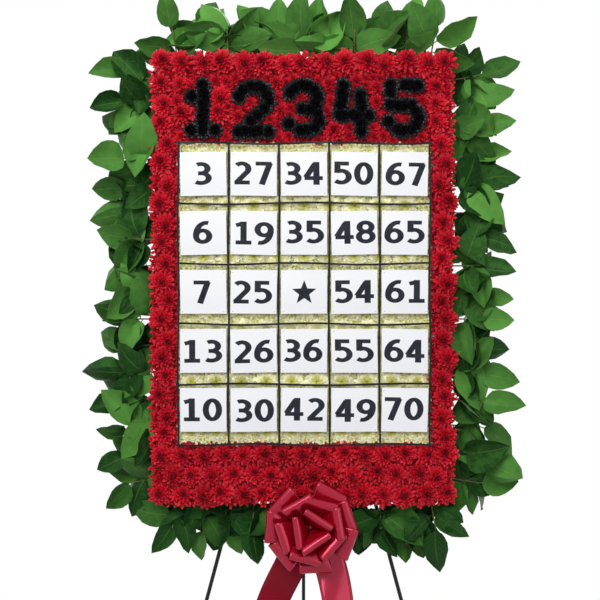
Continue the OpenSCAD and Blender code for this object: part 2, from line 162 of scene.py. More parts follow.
def pick(obj, test):
    """In edit mode, selects the vertices whose place passes the test."""
    form = bmesh.from_edit_mesh(obj.data)
    for v in form.verts:
        v.select_set(test(v.co))
    form.select_flush_mode()
    bmesh.update_edit_mesh(obj.data)


def move(x, y, z):
    """In edit mode, shifts what is selected."""
    bpy.ops.transform.translate(value=(x, y, z))


def stretch(x, y, z, about=(0, 0, 0)):
    """In edit mode, scales what is selected about a place."""
    bpy.ops.transform.resize(value=(x, y, z), center_override=about)


def copy_of(obj, matrix):
    """A copy with its own mesh, set at a place."""
    copy = obj.copy()
    copy.data = obj.data.copy()
    bpy.context.collection.objects.link(copy)
    copy.matrix_world = matrix
    return copy


def joined(name, objects):
    """Joins objects into one piece whose place is in its mesh."""
    bpy.context.view_layer.update()
    only(*objects)
    bpy.ops.object.join()
    piece = bpy.context.active_object
    bpy.ops.object.transform_apply(location=True, rotation=True, scale=True)
    piece.name = piece.data.name = name
    return piece


def applied(obj, kind, **values):
    """Adds a modifier and applies it."""
    only(obj)
    modifier = obj.modifiers.new(kind.title(), kind)
    for key, value in values.items():
        setattr(modifier, key, value)
    bpy.ops.object.modifier_apply(modifier=modifier.name)


def smooth(piece, degrees):
    """Shades a piece smooth, apart from edges sharper than an angle."""
    only(piece)
    bpy.ops.object.shade_smooth_by_angle(angle=radians(degrees))


def flat_grid(long, wide):
    """A flat grid one unit square, with so many fields along X and Y."""
    bpy.ops.mesh.primitive_grid_add(x_subdivisions=long, y_subdivisions=wide, size=1)
    return bpy.context.active_object


def spin(angle, axis):
    """A turn about an axis."""
    return Matrix.Rotation(angle, 4, axis)


def dressed(piece, *finishes):
    """Gives a piece these finishes alone."""
    piece.data.materials.clear()
    for finish in finishes:
        piece.data.materials.append(finish)


def tinted(mesh, values):
    """Writes one colour value for each vertex to the mesh's tint."""
    if "tint" not in mesh.attributes:
        mesh.attributes.new("tint", "FLOAT_COLOR", "POINT")
    mesh.attributes["tint"].data.foreach_set("color", np.asarray(values, np.float32).ravel())


def tint_of(mesh):
    """The mesh's tint as rows of four values."""
    flat = np.empty(len(mesh.vertices) * 4, np.float32)
    mesh.attributes["tint"].data.foreach_get("color", flat)
    return flat.reshape(-1, 4)


def placed(piece, slot, *nodes):
    """Hands a finished piece to the stand in place of its CAD nodes."""
    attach(piece, "stand")
    if nodes:
        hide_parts(*nodes)


# Finishes

RESULT = {"Mix": 2}  # The output that holds a node's result, where it isn't the first


def feed(tree, node, inputs):
    """Sets a node's inputs to values, or links them to other nodes."""
    for key, value in inputs.items():
        if isinstance(value, bpy.types.NodeSocket):
            tree.links.new(value, node.inputs[key])
        else:
            node.inputs[key].default_value = value


def put(tree, kind, inputs=(), stops=(), **props):
    """Adds a shader node with its settings, inputs and colour stops, and gives its result."""
    made = tree.nodes.new("ShaderNode" + kind)
    for key, value in props.items():
        setattr(made, key, value)
    feed(tree, made, dict(inputs))
    for k, (at, colour) in enumerate(stops):
        held = made.color_ramp.elements
        element = held[k] if k < 2 else held.new(at)
        element.position, element.color = at, colour
    return made.outputs[RESULT.get(kind, 0)]


def reckon(tree, how, *values):
    """A step of arithmetic on numbers or other nodes."""
    return put(tree, "Math", dict(enumerate(values)), operation=how)


def ranged(tree, value, old, new):
    """A value brought from one range into another, and kept inside it."""
    return put(tree, "MapRange", dict(enumerate((value, *old, *new))))


def blend(tree, share, one, other):
    """Two colours mixed by a share of the second."""
    return put(tree, "Mix", {0: share, 6: one, 7: other}, data_type="RGBA")


def own_place(tree):
    """The place on a piece, in metres."""
    return put(tree, "TexCoord").node.outputs["Object"]


def noise(tree, apart, detail):
    """Soft spots on a piece, about so far apart."""
    return put(tree, "TexNoise", {"Vector": own_place(tree), "Scale": 1 / apart, "Detail": detail})


def bumped(tree, strength, depth, height, **props):
    """A relief of some depth in the shading."""
    return put(tree, "Bump", {"Strength": strength, "Distance": depth, "Height": height}, **props)


def begun(name):
    """A new material and its node tree."""
    material = bpy.data.materials.new(name)
    material.use_nodes = True
    return material, material.node_tree


def ended(material, colour, roughness, relief=None, gloss=0.5, shine=WHITE, **more):
    """The material, once its shader has what the finish gives it."""
    inputs = {"Base Color": colour, "Roughness": roughness, **more}
    inputs.update({"Specular IOR Level": gloss, "Specular Tint": shine})
    if relief is not None:
        inputs["Normal"] = relief
    tree = material.node_tree
    feed(tree, tree.nodes["Principled BSDF"], inputs)
    return material


def petal_finish(name, base, body, tip, heart, inmost, shine, roughness, gloss):
    """Living or sprayed petals: darker at the foot and in the heart, paler at the tip, each one a
    little different. On the red and sprayed petals the dark foot and heart are painted shade and the
    pale tip a painted highlight.
    """
    material, tree = begun(name)
    tint = put(tree, "Attribute", attribute_name="tint")
    along, ring, chance = put(tree, "SeparateColor", {0: tint}).node.outputs
    # Painted shade at the foot and a painted highlight at the tip, on the red and sprayed petals
    length = put(tree, "ValToRGB", {0: along}, [(0.15, base), (0.5, body), (0.75, body), (1.0, tip)])
    # Painted shade in the heart, where the inner petals crowd, on the red and sprayed petals
    inner = ranged(tree, ring, (0.7, 0.95), (0.0, inmost))
    flower = blend(tree, inner, length, heart)
    shade = ranged(tree, chance, (0.0, 1.0), (0.74, 1.24))
    varied = put(tree, "HueSaturation", {"Value": shade, "Color": flower})
    # Veins lie 0.4 mm apart and are drawn 1.5 mm apart so that they show
    veins = bumped(tree, 0.25, 0.4 * MM, noise(tree, 1.5 * MM, 2.0))
    return ended(material, varied, roughness, veins, gloss, shine)


def enamel_finish(colour):
    """Black baked enamel on drawn steel wire: a low gloss with a faint orange-peel skin."""
    material, tree = begun("black_enamelled_wire")
    rub = noise(tree, 60 * MM, 4.0)
    worn = tuple(0.6 * c + 0.02 for c in colour[:3]) + (1.0,)
    skin = put(tree, "ValToRGB", {0: rub}, [(0.35, colour), (0.75, worn)])
    rough = ranged(tree, rub, (0.3, 0.7), (0.32, 0.5))
    peel = bumped(tree, 0.2, 0.2 * MM, noise(tree, 3 * MM, 3.0))
    return ended(material, skin, rough, peel, 0.2)


def steel_finish(name, colour, roughness):
    """Plated steel: bright metal with fine drawing lines."""
    material, tree = begun(name)
    lines = noise(tree, 1 * MM, 2.0)
    rough = ranged(tree, lines, (0.0, 1.0), (0.8 * roughness, 1.3 * roughness))
    return ended(material, colour, rough, Metallic=1.0)


def foam_finish(colour):
    """Expanded polystyrene: pressed beads about 4 mm across with fine dark seams between them."""
    material, tree = begun("expanded_polystyrene_foam")
    spots = {"Vector": own_place(tree), "Scale": 1 / (4 * MM)}
    beads = ranged(tree, put(tree, "TexVoronoi", spots), (0.0, 1.0), (1.0, 0.0))
    seams = put(tree, "TexVoronoi", spots, feature="DISTANCE_TO_EDGE")
    value = ranged(tree, seams, (0.0, 0.12), (0.82, 1.0))
    skin = put(tree, "HueSaturation", {"Value": value, "Color": colour})
    return ended(material, skin, 0.75, bumped(tree, 0.5, 0.6 * MM, beads))


def bark_finish(colour, young):
    """Woody twig: dull brown-green bark in short streaks."""
    material, tree = begun("twig_bark")
    streaks = noise(tree, 9 * MM, 5.0)
    skin = put(tree, "ValToRGB", {0: streaks}, [(0.3, colour), (0.7, young)])
    return ended(material, skin, 0.7, bumped(tree, 0.5, 0.4 * MM, streaks))


def wood_finish(colour):
    """Plain birch pick: pale wood with fine lengthwise grain."""
    material, tree = begun("birch_pick")
    dark = tuple(0.6 * c for c in colour[:3]) + (1.0,)
    skin = put(tree, "ValToRGB", {0: noise(tree, 2 * MM, 4.0)}, [(0.3, dark), (0.65, colour)])
    return ended(material, skin, 0.6)


def paper_finish(colour):
    """Uncoated copier paper: matt white with a faint fibre cloud."""
    material, tree = begun("copier_paper")
    # Fibres are 0.1 mm wide and are drawn as a 3 mm cloud so that they show
    cloud = noise(tree, 3 * MM, 5.0)
    value = ranged(tree, cloud, (0.3, 0.7), (0.975, 1.0))
    skin = put(tree, "HueSaturation", {"Value": value, "Color": colour})
    return ended(material, skin, 0.85, bumped(tree, 0.08, 0.2 * MM, cloud), 0.3)


def toner_finish(colour):
    """Fused printer toner: near-black with a soft shine and small thin patches."""
    material, tree = begun("printer_toner")
    thin = tuple(1.5 * c + 0.01 for c in colour[:3]) + (1.0,)
    skin = put(tree, "ValToRGB", {0: noise(tree, 12 * MM, 4.0)}, [(0.35, colour), (0.8, thin)])
    return ended(material, skin, 0.5, gloss=0.12)


def satin_finish(name, colour, fold, shine, width, length, roughness, gloss, ior):
    """Acetate satin ribbon: a smooth directional shine in the dye's colour over fine cross threads."""
    material, tree = begun(name)
    place = put(tree, "UVMap")
    # Threads are 0.15 mm apart and are drawn 1.2 mm apart so that they show
    turns = 2 * pi * length / (1.2 * MM)
    along = put(tree, "SeparateXYZ", {0: place})
    thread = reckon(tree, "SINE", reckon(tree, "MULTIPLY", along, turns))
    slubs = put(tree, "TexNoise", {"Vector": place, "Scale": width / (0.35 * MM), "Detail": 3.0})
    skin = blend(tree, ranged(tree, slubs, (0.3, 0.7), (0.0, 1.0)), colour, fold)
    relief = bumped(tree, 0.06, 0.1 * MM, thread)
    return ended(material, skin, roughness, relief, gloss, shine, Anisotropic=0.5, IOR=ior)


def leaf_finish(name, dark, light, vein, roughness, gloss):
    """Broad leathery leaf: waxy upper skin, pale midrib, side veins and mottled greens."""
    material, tree = begun(name)
    across, along, _ = put(tree, "SeparateXYZ", {0: put(tree, "UVMap")}).node.outputs
    side = reckon(tree, "ABSOLUTE", reckon(tree, "SUBTRACT", across, 0.5))
    rib = ranged(tree, side, (0.008, 0.028), (1.0, 0.0))
    # Side veins leave the midrib about every 9 mm and run towards the tip
    rank = reckon(tree, "MULTIPLY_ADD", along, 8.0, reckon(tree, "MULTIPLY", side, -4.4))
    line = ranged(tree, reckon(tree, "PINGPONG", rank, 0.5), (0.0, 0.07), (0.55, 0.0))
    veins = reckon(tree, "MAXIMUM", rib, line)
    # Each leaf's tone from its tint: partly random, partly painted light at the top of the border and
    # painted shade at its sides, its foot and behind other leaves
    own = put(tree, "SeparateColor", {0: put(tree, "Attribute", attribute_name="tint")})
    mottle = noise(tree, 14 * MM, 4.0)
    mixed = reckon(tree, "MULTIPLY_ADD", mottle, 0.5, own)
    green = blend(tree, ranged(tree, mixed, (0.15, 1.15), (0.0, 1.0)), dark, light)
    skin = blend(tree, reckon(tree, "MULTIPLY", veins, 0.18), green, vein)
    rough = ranged(tree, mottle, (0.0, 1.0), (roughness - 0.06, roughness + 0.1))
    relief = bumped(tree, 0.6, 0.6 * MM, veins, invert=True)
    return ended(material, skin, rough, relief, gloss, light)


# Settings


def span(name, description, default):
    """A length that the user may change, in metres."""
    return bpy.props.FloatProperty(
        name=name, description=description, default=default, unit="LENGTH"
    )


class TributeSizes(bpy.types.PropertyGroup):
    """Sizes of the dressed pieces"""

    red_reach: span("Red petals", "Reach of a red petal", 0.029)
    white_reach: span("White petals", "Reach of a white petal", 0.028)
    black_reach: span("Black petals", "Reach of a black petal", 0.02)
    digit_height: span("Digits", "Height of a printed digit", 0.047)
    card_bow: span("Card bow", "Most that a card bows out", 0.0045)
    tail_length: span("Tails", "Length of a tail's path", 0.4)
    ribbon_width: span("Bow ribbon", "Width of the bow's ribbon", 0.066)
    leaf_growth: bpy.props.FloatProperty(
        name="Leaf growth",
        description="Size of a leaf against its CAD leaf",
        default=1.28,
        subtype="FACTOR",
    )


def hue(what, code):
    """The colour of something, from its sRGB hex value, which the user may change."""
    return bpy.props.FloatVectorProperty(
        name=what.capitalize(),
        description="Colour of the " + what,
        default=linear(code),
        size=4,
        subtype="COLOR",
        min=0,
        max=1,
    )


class TributeColours(bpy.types.PropertyGroup):
    """Colours of the finishes"""

    # Red petals: the dark foot and heart are painted shade and the pale tip a painted highlight over
    # the petal's own red
    red_foot: hue("foot of a red petal", "#7a0816")
    red_body: hue("body of a red petal", "#c9132a")
    red_tip: hue("tip of a red petal", "#f04450")
    red_sheen: hue("sheen of a red petal", "#ff9a9a")
    red_heart: hue("heart of a red flower", "#6d0815")
    white_foot: hue("foot of a white petal", "#c6c440")
    white_body: hue("body of a white petal", "#f2efb8")
    white_tip: hue("tip and sheen of a white petal", "#fffef8")
    white_heart: hue("heart of a white flower", "#a8a62c")
    # Sprayed petals: the darker foot and heart are painted shade and the greyer tip a painted highlight
    black_foot: hue("foot of a sprayed petal", "#050506")
    black_body: hue("body of a sprayed petal", "#0c0c0e")
    black_tip: hue("tip of a sprayed petal", "#1f1f24")
    black_sheen: hue("sheen of a sprayed petal", "#cbcbd3")
    paper: hue("number cards", "#f5f6fa")
    toner: hue("printed digits", "#1f222b")
    strip: hue("narrow black ribbons", "#0b0b0d")
    strip_fold: hue("shine of the black ribbons", "#1a1a1e")
    satin: hue("bow ribbon", "#8a0419")
    satin_fold: hue("lighter threads of the bow ribbon", "#a00a21")
    # The dull back of the ribbon: its matt finish is the ribbon's own, and its darker reds are painted
    # shade on the left tail and inside the loops
    satin_back: hue("dull back of the bow ribbon", "#76091a")
    back_fold: hue("lighter threads of the dull back", "#870f22")
    satin_shine: hue("gloss of the bow ribbon", "#ff7390")
    # Greens of the leaves: a leaf's tone lies between them partly at random, and partly as painted
    # light at the top of the border and painted shade at its sides, its foot and behind other leaves
    leaf_dark: hue("old leaves and painted shade", "#183a19")
    leaf_light: hue("young leaves and painted light", "#5e9844")
    leaf_vein: hue("midrib and veins", "#8db05c")
    under_dark: hue("underside of old leaves and painted shade", "#4f6f45")
    under_light: hue("underside of young leaves and painted light", "#7fa05c")
    bark: hue("old bark of the twigs", "#4d3f26")
    young_bark: hue("green bark of the twigs", "#6f7a3c")
    enamel: hue("easel", "#141416")
    zinc: hue("anchor wires", "#a3a8a8")
    nickel: hue("pins", "#c9ccd0")
    foam: hue("board", "#eceee9")
    birch: hue("pick of the bow", "#c9a56c")


def settings(context):
    """The scene's sizes and colours."""
    return context.scene.tribute_sizes, context.scene.tribute_colours


# Flower heads


def make_petal(name, curl, gutter):
    """A blade from a low sphere: foot at the origin, tip one unit up Z, upper face on Y."""
    bpy.ops.mesh.primitive_uv_sphere_add(segments=8, ring_count=2, radius=0.5)
    petal = bpy.context.active_object
    petal.name = name
    mode("EDIT")
    stretch(1, 1, 0.12)
    bpy.ops.transform.rotate(value=pi / 2, orient_axis="X", center_override=(0, 0, 0))
    move(0, 0, 0.5)
    pick(petal, lambda co: abs(co.x) < 0.01 and 0.4 < co.z < 0.6)
    move(0, gutter, 0)
    rows = ((0.1, 0.6, 0.02), (0.45, 1.0, 0.2), (0.8, 1.15, 0.6), (0.95, 1.0, 0.9))
    for low, wide, shift in rows:
        pick(petal, lambda co: low < co.z < low + 0.1)
        stretch(wide, 1, 1)
        move(0, curl * shift, 0)
    mode("OBJECT")
    smooth(petal, 50)
    along = places_of(petal)[:, 2].clip(0, 1)
    tinted(petal.data, np.column_stack([along, 0 * along, 0 * along, 0 * along + 1]))
    return petal


def make_head(name, petals, count, reach, width, slopes, lift, rise, seed):
    """A flower head: petals round its heart by the golden angle, the outermost first."""
    dice = Random(seed)
    low, high = slopes
    copies = []
    for i in range(count):
        ring = i / (count - 1)
        turn = i * GOLDEN + dice.uniform(-0.2, 0.2)
        slope = radians(low + (high - low) * (ring**1.4 + 0.1 * dice.uniform(-1, 1)))
        length = reach * (1 - 0.55 * ring) * dice.uniform(0.85, 1.08)
        foot = 0.1 * reach * (1 - ring)
        c, s = cos(turn), sin(turn)
        along = Vector((c * cos(slope), s * cos(slope), sin(slope)))
        across = Vector((-s, c, 0))
        rolled = axes_of(across, along.cross(across), along) @ spin(dice.uniform(-0.4, 0.4), "Z")
        wide = width * (1 - 0.3 * ring) * dice.uniform(0.85, 1.1)
        copy = copy_of(
            petals[0 if ring < 0.5 else 1],
            Matrix.Translation((foot * c, foot * s, lift + rise * ring))
            @ rolled
            @ Matrix.Diagonal((wide, wide, length, 1)),
        )
        tint = tint_of(copy.data)
        tint[:, 1], tint[:, 2] = ring, dice.random()
        tinted(copy.data, tint)
        copies.append(copy)
    return joined(name, copies)


def plant(name, heads, places, seed):
    """Sets copies of flower heads at places on the board, each (across, up, size, lean, kind)."""
    dice = Random(seed)
    copies = []
    for x, up, size, most, kind in places:
        lean = spin(dice.uniform(-most, most), "X") @ spin(dice.uniform(-most, most), "Y")
        copy = copy_of(
            dice.choice(heads[kind]),
            BOARD
            @ Matrix.Translation((x, up, 0))
            @ lean
            @ spin(dice.uniform(0, 2 * pi), "Z")
            @ Matrix.Scale(size, 4),
        )
        tint = tint_of(copy.data)
        tint[:, 2] = 0.55 * tint[:, 2] + 0.45 * dice.random()
        tinted(copy.data, tint)
        copies.append(copy)
    return joined(name, copies)


def head_places(name):
    """Places of a node's heads on the board, each (across, up, diameter of the firm core)."""
    places = []
    for points in loose_parts(name):
        low, high = extent(points)
        places.append(((low[0] + high[0]) / 2, (low[1] + high[1]) / 2, high[0] - low[0]))
    return places


def gaps_between(covers, inside, seed):
    """Spots of the board's face that no cover (across, up, radius) reaches, where inside allows one."""
    dice = Random(seed)
    low, high = BOARD_LOW, BOARD_HIGH
    spots, step = [], 9 * MM
    for i in range(int((high[0] - low[0]) / step) + 1):
        for j in range(int((high[1] - low[1]) / step) + 1):
            x = low[0] + (i + dice.uniform(-0.3, 0.3)) * step
            up = low[1] + (j + dice.uniform(-0.3, 0.3)) * step
            if inside(x, up) and all(dist((x, up), c[:2]) > c[2] for c in covers):
                spots.append((x, up))
    return spots


class TRIBUTE_OT_flower_heads(bpy.types.Operator):
    """Dresses every flower head of the board with petals"""

    bl_idname = "tribute.flower_heads"
    bl_label = "Flower heads"

    def execute(self, context):
        sizes, colours = settings(context)
        loose = [make_petal("petal_open", -0.3, -0.02), make_petal("petal_cupped", 0.5, -0.07)]
        even = [make_petal("petal_even", -0.08, -0.04)] * 2
        red, white, black = sizes.red_reach, sizes.white_reach, sizes.black_reach
        # Each kind: petal forms, count, reach, width, lowest and highest slope, lift and rise
        makes = {
            "red": (loose, 100, red, 9.4 * MM, (-8, 74), 10 * MM, 7 * MM),
            "red_small": (loose, 60, 0.72 * red, 8.4 * MM, (-2, 76), 10 * MM, 6 * MM),
            "red_tuft": (loose, 9, 0.58 * red, 8.4 * MM, (12, 60), 4 * MM, 3 * MM),
            "white": (even, 84, white, 12 * MM, (-3, 12), 12 * MM, 2 * MM),
            "white_tuft": (even, 9, 0.55 * white, 11 * MM, (2, 12), 12 * MM, 1 * MM),
            "black": (loose, 64, black, 8.4 * MM, (-6, 58), 18 * MM, 5 * MM),
        }
        heads = {
            kind: [make_head(kind, *make, 10 * n + k) for k in range(3)]
            for n, (kind, make) in enumerate(makes.items())
        }
        # Each finish: its tone and name, the colour and share of the heart, sheen, roughness and gloss
        looks = (
            ("red", "red_petals", colours.red_heart, 0.75, colours.red_sheen, 0.4, 0.4),
            ("white", "white_petals", colours.white_heart, 0.75, colours.white_tip, 0.6, 0.25),
            ("black", "black_sprayed_petals", colours.black_foot, 0.9, colours.black_sheen, 0.24, 0.3),
        )
        finishes = {}
        for tone, name, *look in looks:
            tones = [getattr(colours, tone + part) for part in ("_foot", "_body", "_tip")]
            finishes[tone] = petal_finish(name, *tones, *look)
        beds = [("red_mums_" + side, "red") for side in ("top", "bottom", "left", "right")]
        beds += [("black_mums_%d" % n, "black") for n in range(1, 6)]
        beds += [("white_mums_" + half, "white") for half in ("upper", "lower")]
        covers = []
        dice = Random(3)
        low, high = GRID_LOW, GRID_HIGH

        def grid(x, up, in_by):
            """Whether a spot lies in the grid, so far in from its edge."""
            return low[0] + in_by < x < high[0] - in_by and low[1] + in_by < up < high[1] - in_by

        cards = []
        for k in range(25):
            first, last = extent(places_of(NODES["card_%d_%d" % (k // 5 + 1, k % 5 + 1)]))
            cards.append((first + 6 * MM, last - 6 * MM))

        def hidden(x, up):
            """Whether a card covers a spot."""
            return any(a[0] < x < b[0] and a[1] < up < b[1] for a, b in cards)

        for seed, (name, tone) in enumerate(beds):
            places = []
            for x, up, d in head_places(name):
                # The small red heads stand between the large ones, which sit a little off their stems
                small = tone == "red" and d < 35 * MM
                size = min(1.0, 0.55 + 0.5 * d / (26 * MM)) if small else 1.0
                lean = 0.0 if tone == "white" else 0.12
                if tone == "red" and not small:
                    x += dice.uniform(-4, 4) * MM
                    up += dice.uniform(-4, 4) * MM
                    size, lean = dice.uniform(0.94, 1.08), 0.28
                if tone == "white" and not grid(x, up, 30 * MM):
                    size = 0.84  # Heads at the edge stay inside the grid
                places.append((x, up, size, lean, "red_small" if small else tone))
                # The inner part of a head hides the foam, and loose petals hide the rest
                reach = {"red": red, "white": white, "black": 0.5 * black}[tone]
                covers.append((x, up, 0.62 * reach * size * (0.7 if small else 1)))
            self.bed(name + "_petals", heads, places, 100 + seed, finishes, tone, name)
        areas = (
            ("red", 1.0, lambda x, up: not grid(x, up, -3 * MM)),
            ("white", 0.7, lambda x, up: grid(x, up, 6 * MM) and not hidden(x, up)),
        )
        for tone, size, inside in areas:
            spots = sorted(gaps_between(covers, inside, 5), key=lambda spot: spot[1])
            half = len(spots) // 2
            for side, some in (("lower", spots[:half]), ("upper", spots[half:])):
                places = [(x, up, size, 0.0, tone + "_tuft") for x, up in some]
                self.bed(tone + "_loose_petals_" + side, heads, places, 120, finishes, tone)
        for head in loose + even[:1] + [h for group in heads.values() for h in group]:
            bpy.data.meshes.remove(head.data)
        return {"FINISHED"}

    def bed(self, name, heads, places, seed, finishes, tone, *nodes):
        """One bed of heads with its finish, in place of its CAD nodes."""
        piece = plant(name, heads, places, seed)
        dressed(piece, finishes[tone])
        placed(piece, tone + "_petals", *nodes)


# Number cards

NUMBERS = (
    (3, 27, 34, 50, 67),
    (6, 19, 35, 48, 65),
    (7, 25, None, 54, 61),
    (13, 26, 36, 55, 64),
    (10, 30, 42, 49, 70),
)


def bend(centre, radii, start, end):
    """Points of an arc from one angle to another, in degrees."""
    turns = np.radians(np.linspace(start, end, 24))
    return [(centre[0] + radii[0] * cos(t), centre[1] + radii[1] * sin(t)) for t in turns]


# Centre lines of bold upright digits, in a box one unit wide and high
SIX = [bend((0.5, 0.3), (0.5, 0.3), -180, 180), bend((0.78, 0.33), (0.78, 0.67), 180, 78)]
STROKES = {
    "0": [bend((0.5, 0.5), (0.5, 0.5), -180, 180)],
    "1": [[(0.55, 1.1), (0.55, 0)], [(-0.05, 0), (1.15, 0)], [(-0.02, 0.9), (0.55, 1.0)]],
    "2": [bend((0.46, 0.72), (0.5, 0.28), 140, -38) + [(0.06, 0.0)], [(-0.1, 0), (1.06, 0)]],
    "3": [bend((0.4, 0.755), (0.5, 0.245), 125, -90), bend((0.4, 0.255), (0.58, 0.255), 90, -132)]
    + [[(0.18, 0.51), (0.42, 0.51)]],
    "4": [[(0.62, 1.0), (-0.08, 0.28)], [(-0.18, 0.25), (1.2, 0.25)], [(0.72, 1.1), (0.72, -0.1)]],
    "5": [[(0.98, 1), (0.02, 1)], [(0.12, 1.1), (0.12, 0.5)]]
    + [bend((0.4, 0.31), (0.58, 0.31), 122, -135)],
    "6": SIX,
    "7": [[(-0.1, 1), (1.1, 1)], [(0.98, 1.04), (0.36, -0.1)]],
    "8": [bend((0.5, 0.76), (0.46, 0.24), -180, 180), bend((0.5, 0.26), (0.52, 0.26), -180, 180)],
    "9": [[(1 - x, 1 - y) for x, y in stroke] for stroke in SIX],
}


def printed_number(text, height):
    """Bold digits as flat strokes, the strokes of a digit a hair above each other."""
    corners, faces = [], []
    # Half widths of a stroke, the box of its centre line, and the step to the next digit
    pen, box, step = np.array((0.136, 0.086)) * height, np.array((0.58, 0.83)) * height, 0.93 * height
    for n, digit in enumerate(text):
        for k, stroke in enumerate(STROKES[digit]):
            line = np.array(stroke) * box + (n * step, 0)
            closed = dist(line[0], line[-1]) < 1e-6
            way = np.gradient(line, axis=0)
            if closed:
                way[0] = way[-1] = line[1] - line[-2]
            way /= np.linalg.norm(way, axis=1)[:, None]
            side = np.column_stack([-way[:, 1], way[:, 0]]) * pen
            first = len(corners)
            for here, off in zip(line, side):
                corners += [(*(here - off), 0.01 * MM * k), (*(here + off), 0.01 * MM * k)]
            for i in range(first, len(corners) - 2, 2):
                faces.append((i, i + 2, i + 3, i + 1))
    mesh = bpy.data.meshes.new("digits")
    mesh.from_pydata(corners, [], faces)
    digits = bpy.data.objects.new("digits", mesh)
    bpy.context.collection.objects.link(digits)
    return digits


def printed_star(radius):
    """A plain five-pointed star from a ten-sided disc."""
    bpy.ops.mesh.primitive_circle_add(vertices=10, radius=radius, fill_type="TRIFAN")
    star = bpy.context.active_object
    mode("EDIT")

    def inner(co):
        """Every second corner, counted from the top one."""
        corner = round((atan2(co.y, co.x) - pi / 2) / radians(36))
        return co.length > 0.5 * radius and corner % 2 == 1

    pick(star, inner)
    stretch(0.42, 0.42, 1)
    mode("OBJECT")
    return star


class TRIBUTE_OT_number_cards(bpy.types.Operator):
    """Makes the bowed paper cards with their printed numbers"""

    bl_idname = "tribute.number_cards"
    bl_label = "Number cards"

    def execute(self, context):
        sizes, colours = settings(context)
        paper, toner = paper_finish(colours.paper), toner_finish(colours.toner)
        for r, line in enumerate(NUMBERS, 1):
            for c, number in enumerate(line, 1):
                name = "card_%d_%d" % (r, c)
                self.card(name, number, sizes, paper, toner, Random(10 * r + c))
        return {"FINISHED"}

    def card(self, name, number, sizes, paper, toner, dice):
        """One card over its CAD card: a bowed, hand-cut sheet with its number."""
        flat = on_board(places_of(NODES[name]))
        left = flat[(flat[:, 0] + flat[:, 1]).argmin()]
        right = flat[(flat[:, 0] - flat[:, 1]).argmax()]
        top = flat[(flat[:, 1] - flat[:, 0]).argmax()]
        turn = atan2(right[1] - left[1], right[0] - left[0])
        width, height = dist(left[:2], right[:2]), dist(left[:2], top[:2])
        middle = (flat.min(0) + flat.max(0)) / 2
        sheet = flat_grid(14, 14)
        sheet.data.transform(Matrix.Diagonal((width, height, 1, 1)))
        dressed(sheet, paper)
        applied(sheet, "SOLIDIFY", thickness=0.3 * MM, offset=1.0)
        if number is None:
            ink = printed_star(0.56 * sizes.digit_height)
        else:
            ink = printed_number(str(number), sizes.digit_height)
        points = places_of(ink)
        centre = (points.min(0) + points.max(0)) / 2
        aside = Vector((dice.uniform(-2, 2) * MM, dice.uniform(-1.5, 1.5) * MM, 0.34 * MM))
        ink.data.transform(Matrix.Translation(aside - Vector(centre)))
        dressed(ink, toner)
        # Cut across in twelve steps each way, so that the print can follow the bow
        only(ink)
        mode("EDIT")
        bpy.ops.mesh.select_all(action="SELECT")
        bpy.ops.mesh.normals_make_consistent(inside=False)
        for k in range(-5, 6):
            for normal in ((1, 0, 0), (0, 1, 0)):
                bpy.ops.mesh.select_all(action="SELECT")
                place = (k * width / 12, k * height / 12, 0)
                bpy.ops.mesh.bisect(plane_co=place, plane_no=normal)
        mode("OBJECT")
        applied(ink, "SOLIDIFY", thickness=0.06 * MM, offset=0.0)
        piece = joined(name.replace("card", "number_card"), [sheet, ink])
        bow, lean = dice.uniform(0.5, 1) * sizes.card_bow, dice.uniform(-0.5, 0.5)
        cut = [dice.uniform(-0.012, 0.012) for _ in range(2)]
        for v in piece.data.vertices:
            x, y = 2 * v.co.x / width, 2 * v.co.y / height
            swell, crown = ((1 - d**2) * (1 - d**4) for d in (x, y))
            v.co.z += bow * (swell * (0.7 + 0.3 * y) + 0.6 * crown + 0.3 * lean * crown * x)
            # A hand-cut sheet: its sides are not quite parallel
            v.co.x += cut[0] * v.co.y
            v.co.y += cut[1] * v.co.x
        place = Matrix.Translation((middle[0], middle[1], flat[:, 2].min()))
        piece.data.transform(BOARD @ place @ spin(turn, "Z"))
        smooth(piece, 40)
        placed(piece, "card_paper", name)


# Grid ribbons


class TRIBUTE_OT_grid_ribbons(bpy.types.Operator):
    """Lays the narrow black ribbons between the cards"""

    bl_idname = "tribute.grid_ribbons"
    bl_label = "Grid ribbons"

    def execute(self, context):
        _, colours = settings(context)
        # Width and length of a ribbon, then roughness, gloss and refraction of the satin
        look = (5 * MM, 0.6, 0.4, 0.2, 1.5)
        satin = satin_finish("black_satin_ribbon", colours.strip, colours.strip_fold, WHITE, *look)
        for name, along in (("grid_ribbons_across", 0), ("grid_ribbons_up", 1)):
            strips = []
            for k, points in enumerate(loose_parts(name)):
                strips.append(self.strip(*extent(points), along, Random(7 * k + along)))
            piece = joined(name + "_satin", strips)
            dressed(piece, satin)
            smooth(piece, 40)
            placed(piece, "black_ribbon", name)
        return {"FINISHED"}

    def strip(self, low, high, along, dice):
        """One ribbon: a long grid with a slow wave out of the board and a slight wander."""
        strip = flat_grid(90, 2)
        size, middle = high - low, (low + high) / 2
        across = 1 - along
        phase, pace, poke = dice.uniform(0, 6), dice.uniform(0.8, 1.2), dice.uniform(0, 3) * MM
        stray = 1.8 if along == 0 else 1.0
        for v in strip.data.vertices:
            s, k = v.co.x, 2 * v.co.y
            here = middle.copy()
            wave = sin(31 * pace * s + phase)
            here[along] += s * (size[along] + 2 * poke)
            here[across] += 0.42 * k * size[across] + stray * MM * sin(11 * pace * s + 2 * phase)
            here[2] = low[2] + (0.5 + 0.35 * wave) * MM + 0.3 * MM * k * sin(23 * s + phase)
            v.co = here
        strip.data.transform(BOARD)
        applied(strip, "SOLIDIFY", thickness=0.3 * MM, offset=0.0)
        return strip


# Foliage


